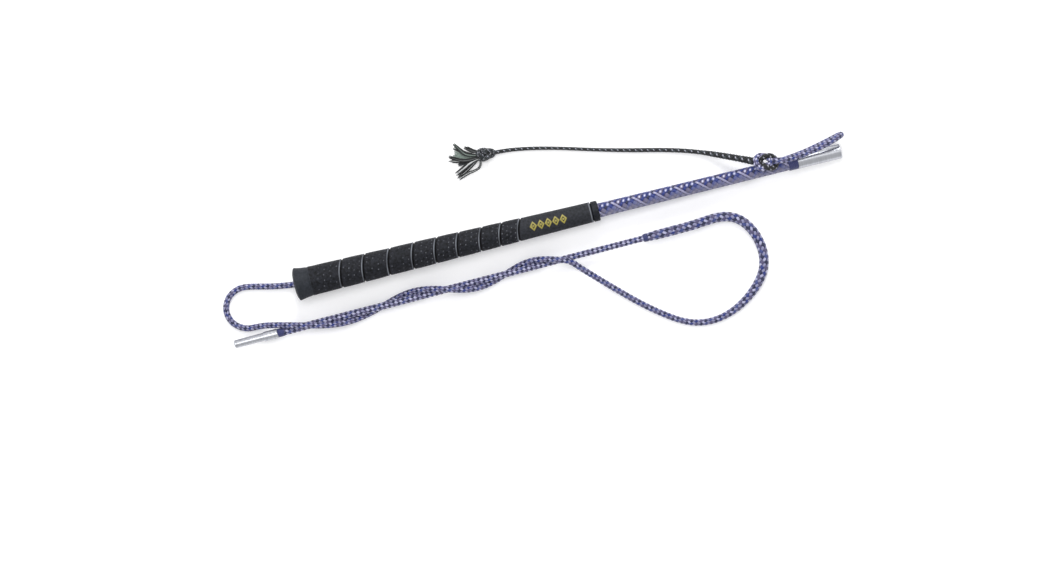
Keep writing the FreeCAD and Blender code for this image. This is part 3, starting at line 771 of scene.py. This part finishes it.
cap_profile = rounded(
    [(0.9, 0.02, 0), (0.9, 3.4, 0.3), (0.1, 4.2, 0.4), (0.35, 8.8, 1.5), (1.2, 12.0, 1.2),
     (2.4, 14.1, 0.35), (3.4, 14.0, 0.4), (8.0, 13.0, 2.2), (12.9, 12.45, 0.5),
     (13.2, 12.15, 0.15), (13.7, 12.15, 0.15), (14.0, 12.4, 0.15), (15.3, 12.3, 0)],
)
piece(
    "butt_cap_moulding", [(lathe(cap_profile, handle_place, sides=128), CAP_RUBBER)],
    "handle_half", ("butt_cap",),
)

# The sleeve: nine leaning grooves part its turns. Each turn's rear edge is cut under and its front
# edge stands up as a thin rim, with pinholes in diagonal rows between them.
GROOVES = (39.9, 59.5, 81.2, 102.3, 121.9, 141.0, 160.9, 178.2, 194.3)
SLEEVE_START, SLEEVE_END = 14.9, 258.5
GIRTH = ((15, 12.3), (19, 12.1), (26, 12.15), (47, 11.9), (67, 11.6), (81, 11.25), (108, 11.1),
         (129, 10.75), (149, 10.35), (170, 9.95), (183, 9.75), (210, 9.35), (231, 9.05), (258, 8.7))
SLEEVE_ROWS, SLEEVE_COLUMNS = 900, 216
BULGE, GROOVE_DEPTH, RIM_HEIGHT, PIN_DEPTH = 0.22, 0.95, 0.30, 0.16
FIRST_PINS, PIN_ROWS, PINS_ROUND, PIN_MISSING = 17.0, 4, 16, 0.25


def sleeve_radius(along):
    """The sleeve's radius, without its grooves, at a distance from the butt."""
    return np.interp(along, [place for place, _ in GIRTH], [radius for _, radius in GIRTH])


def sleeve():
    """The sleeve's grid, and for each of its points its painted highlight and dust, and its painted
    shade in the grooves.
    """
    along = np.linspace(SLEEVE_START, SLEEVE_END, SLEEVE_ROWS)
    turn_of = np.arange(SLEEVE_COLUMNS) * 2 * math.pi / SLEEVE_COLUMNS
    girth = sleeve_radius(along)[:, None]
    # A groove is a flat ring in flat_place, and leans towards the tip at the sleeve's +Y side.
    lean = 4.8 * ((1 - np.cos(turn_of)) / 2) ** 2.2 - 1.0
    flat_place = along[:, None] - lean[None, :]
    bulge, edge, groove_shade, pin = (np.zeros((SLEEVE_ROWS, SLEEVE_COLUMNS)) for _ in range(4))
    for rear, front in zip((SLEEVE_START - 20.0, *GROOVES[:-1]), GROOVES):
        share = (flat_place - rear) / (front - rear)
        on = (share >= 0) & (share < 1)
        bulge = np.where(on, BULGE * np.sin(math.pi * np.clip(share, 0, 1)) ** 0.6, bulge)
    for groove in GROOVES:
        gap = flat_place - groove
        rim = hill(gap, -0.35, 0.36)
        bulge -= GROOVE_DEPTH * hill(gap, 0.75, 0.62)
        bulge += RIM_HEIGHT * rim
        # edge is a painted highlight along each rim, where the light catches it.
        edge = np.maximum(edge, rim * (0.72 + 0.28 * np.sin(turn_of * 3 + groove))[None, :])
        # Painted shade at the bottom of each groove.
        groove_shade = np.maximum(groove_shade, hill(gap, 1.0, 0.75, 4))
    # A painted highlight along the sleeve's front end.
    edge = np.maximum(edge, 0.7 * hill(along, 257.6, 0.4)[:, None])
    for rear, front in zip((FIRST_PINS, *GROOVES[:-1]), GROOVES):
        for row in range(PIN_ROWS):
            place = rear + (front - rear) * (row + 0.75) / (PIN_ROWS + 0.3)
            for number in range(PINS_ROUND):
                if chance.random() < PIN_MISSING:
                    continue
                step = number + 0.5 * (row % 2) + chance.normal(0, 0.06)
                angle = 2 * math.pi * step / PINS_ROUND
                spot = place + chance.normal(0, 0.22)
                near = np.abs(along - spot - 1.4) < 6.0
                round_by = (turn_of - angle + math.pi) % (2 * math.pi) - math.pi
                arc = round_by[None, :] * girth[near]
                distance = np.hypot(flat_place[near] - spot, arc * 0.9)
                size = chance.uniform(0.38, 0.54)
                depth = chance.uniform(0.25, 0.9)
                pin[near] = np.maximum(pin[near], depth * hill(distance, 0, size, 4))
    smooth_end = flat_place > GROOVES[-1] + 1.5
    pin = np.where(smooth_end, 0, pin)
    # Painted highlights on the rims, pinholes paler with dust and painted highlight, and the smooth
    # end a touch paler.
    highlight_and_dust = np.clip(0.6 * edge + 0.34 * pin + 0.03 * smooth_end, 0, 1)
    radius = girth + bulge - PIN_DEPTH * pin
    grid = np.stack(
        [
            np.repeat(along[:, None], SLEEVE_COLUMNS, 1),
            -radius * np.cos(turn_of),
            radius * np.sin(turn_of),
        ],
        -1,
    )
    return grid, np.stack([highlight_and_dust, groove_shade], -1)


sleeve_grid, sleeve_marks = sleeve()
piece(
    "grip_sleeve_moulding", [(moved(sleeve_grid, handle_place), GRIP_RUBBER, sleeve_marks)],
    "handle_half", ("grip_sleeve",),
)

collar_profile = rounded(
    [(258.2, 7.0, 0), (259.2, 7.6, 0.2), (259.5, 8.72, 0.25), (264.2, 8.68, 0.3),
     (264.75, 8.3, 0.25), (264.8, 6.0, 0)],
)
piece(
    "grip_collar_moulding", [(lathe(collar_profile, handle_place), COLLAR_RUBBER)],
    "handle_half", ("grip_collar",),
)


# The lozenges: where their middles are, and what one is made of. Each part has its half length,
# its half width round the sleeve, its rings as (share of its size, height), and its paint.
LOZENGE_FIRST, LOZENGE_STEP, LOZENGE_COUNT, LOZENGE_SIDES = 207.9, 6.5, 5, 24
LOZENGE_PARTS = (
    (3.4, 4.5, ((1.0, -0.1), (1.0, 0.05), (0.94, 0.09), (0.02, 0.09)), OLIVE_PAINT),
    (2.95, 3.95, ((1.0, 0.0), (1.0, 0.16), (0.92, 0.24), (0.66, 0.24), (0.6, 0.16), (0.58, 0.0)),
     GOLD_PAINT),
    (0.85, 1.1, ((1.0, 0.0), (1.0, 0.16), (0.8, 0.22), (0.02, 0.22)), GOLD_PAINT),
)


def lozenge(centre, half_length, half_arc, stops):
    """A raised lozenge on the sleeve's upper side, as a grid."""
    rings = []
    for scale, lift in stops:
        row = []
        for corner in range(LOZENGE_SIDES):
            angle = corner * 2 * math.pi / LOZENGE_SIDES
            c, s = math.cos(angle), math.sin(angle)
            reach = scale / (abs(c) + abs(s)) ** 0.9
            along = centre + half_length * reach * c
            radius = sleeve_radius(along) + lift
            turn_at = half_arc * reach * s / sleeve_radius(centre)
            row.append((along, radius * math.sin(turn_at), radius * math.cos(turn_at)))
        rings.append(row)
    return np.array(rings)[:, ::-1]


lozenges = []
for number in range(LOZENGE_COUNT):
    for half_length, half_arc, stops, paint in LOZENGE_PARTS:
        grid = lozenge(LOZENGE_FIRST + LOZENGE_STEP * number, half_length, half_arc, stops)
        lozenges.append((moved(grid, handle_place), paint))
piece("grip_lozenges", lozenges, "handle_half", ("grip_ornament",))


# ---------------------------------------------------------------------------- tip half


# Each round of thread advances by this share of its width and has this many points.
ROUND_STEP, ROUND_POINTS = 0.92, 26


def whipping(start, end, radius_start, radius_end, thread, place):
    """Thread wound closely round a half's axis, as a grid."""
    rounds = (end - start) / (thread * ROUND_STEP)
    share = np.linspace(0, 1, max(12, int(rounds * ROUND_POINTS)))
    angle = share * rounds * 2 * math.pi
    along = start + (end - start) * share
    radius = radius_start + (radius_end - radius_start) * share
    local = np.stack([along, radius * np.cos(angle), radius * np.sin(angle)], 1)
    out = np.stack([np.zeros_like(share), np.cos(angle), np.sin(angle)], 1)
    points = moved(local, place)
    out = out @ np.array(place.to_3x3()).T
    tangents = np.gradient(points, axis=0)
    tangents /= np.linalg.norm(tangents, axis=1)[:, None]
    return tube_grid(points, tangents, out, thread * 1.02, thread, 6)


TIP_THREAD, SOCKET_THREAD = 0.46, 0.5
tip_rail = Rail(straight(TIP_BRAID_START, 363.5, tip_place), 0.62)
tip_radii = np.array([tip_radius(TIP_BRAID_START + a) for a in tip_rail.along]) + 0.1
piece(
    "tip_stick_braid",
    braid(
        tip_rail, tip_radii, 4.15, 12, (HEATHER, LILAC, LILAC),
        (NAVY, VIOLET, NAVY, BLUE, NAVY, VIOLET), width=(0.72, 0.78), height=0.24,
        crest_highlit=(LILAC,), dot=0.4,
    ),
    "tip_half",
    ("tip_braid",),
)
piece(
    "tip_binding_thread",
    [
        (whipping(358.2, 359.2, 2.75, 3.3, TIP_THREAD, tip_place), THREAD),
        (whipping(359.2, 362.0, 3.3, 3.4, TIP_THREAD, tip_place), THREAD),
    ],
    "tip_half", ("tip_binding",),
)
piece(
    "root_binding_thread",
    [(whipping(38.2, 43.4, 3.55, 3.45, TIP_THREAD, tip_place), THREAD)],
    "tip_half", ("root_binding",),
)
sleeve_rail = Rail(straight(362.4, 385.2, tip_place), 0.6)
lash_sleeve_radius = np.interp(sleeve_rail.along, (0, 8, 22.8), (3.5, 4.1, 4.1))
piece(
    "lash_sleeve_braid", braid(sleeve_rail, lash_sleeve_radius, 4.8, **LASH_YARNS),
    "tip_half", ("lash_sleeve",),
)
piece(
    "socket_binding_thread",
    [(whipping(430.2, 438.2, 5.85, 6.0, SOCKET_THREAD, handle_place), THREAD)],
    "handle_half", ("socket_binding",),
)


# ---------------------------------------------------------------------------- carried CAD nodes

# The CAD nodes that stay in the visual model, with their finishes.
carried = {
    "spigot_ferrule": FERRULE, "socket_ferrule": FERRULE, "tip_core": GLASS_FIBRE,
    "handle_core": GLASS_FIBRE, "grip_tape": MOUNTING_TAPE,
}
for node, material in carried.items():
    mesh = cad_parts[node].data
    mesh.materials.clear()
    mesh.materials.append(material)


# ---------------------------------------------------------------------------- floor and light

# The floor is a square, this far each way in metres and this far below FLOOR in millimetres, so
# that it clears the lowest strands.
FLOOR_REACH, FLOOR_DROP = 3.0, 0.2
floor_mesh = bpy.data.meshes.new("floor")
corners = ((-1, -1), (1, -1), (1, 1), (-1, 1))
floor_mesh.from_pydata(
    [(x * FLOOR_REACH, y * FLOOR_REACH, (FLOOR - FLOOR_DROP) * MM) for x, y in corners],
    [], [(0, 1, 2, 3)],
)
floor = bpy.data.objects.new("floor", floor_mesh)
floor_mesh.materials.append(FLOOR_WHITE)
scene.collection.objects.link(floor)

world = bpy.data.worlds.new("studio")
world.use_nodes = True
world.node_tree.nodes["Background"].inputs["Color"].default_value = (1.0, 1.0, 1.0, 1.0)
world.node_tree.nodes["Background"].inputs["Strength"].default_value = 0.82
scene.world = world


def softbox(name, place, aim, size, power):
    """A square area light at place, facing aim."""
    light = bpy.data.lights.new(name, "AREA")
    light.shape = "SQUARE"
    light.size = size
    light.energy = power
    obj = bpy.data.objects.new(name, light)
    obj.location = place
    obj.rotation_euler = (Vector(aim) - Vector(place)).to_track_quat("-Z", "Y").to_euler()
    scene.collection.objects.link(obj)


LIGHT_AIM = (0.19, -0.03, 0.0)
softbox("key", (0.42, 1.15, 0.95), LIGHT_AIM, size=0.6, power=13.0)
softbox("overhead", (0.1, 0.25, 1.9), LIGHT_AIM, size=0.8, power=12.0)
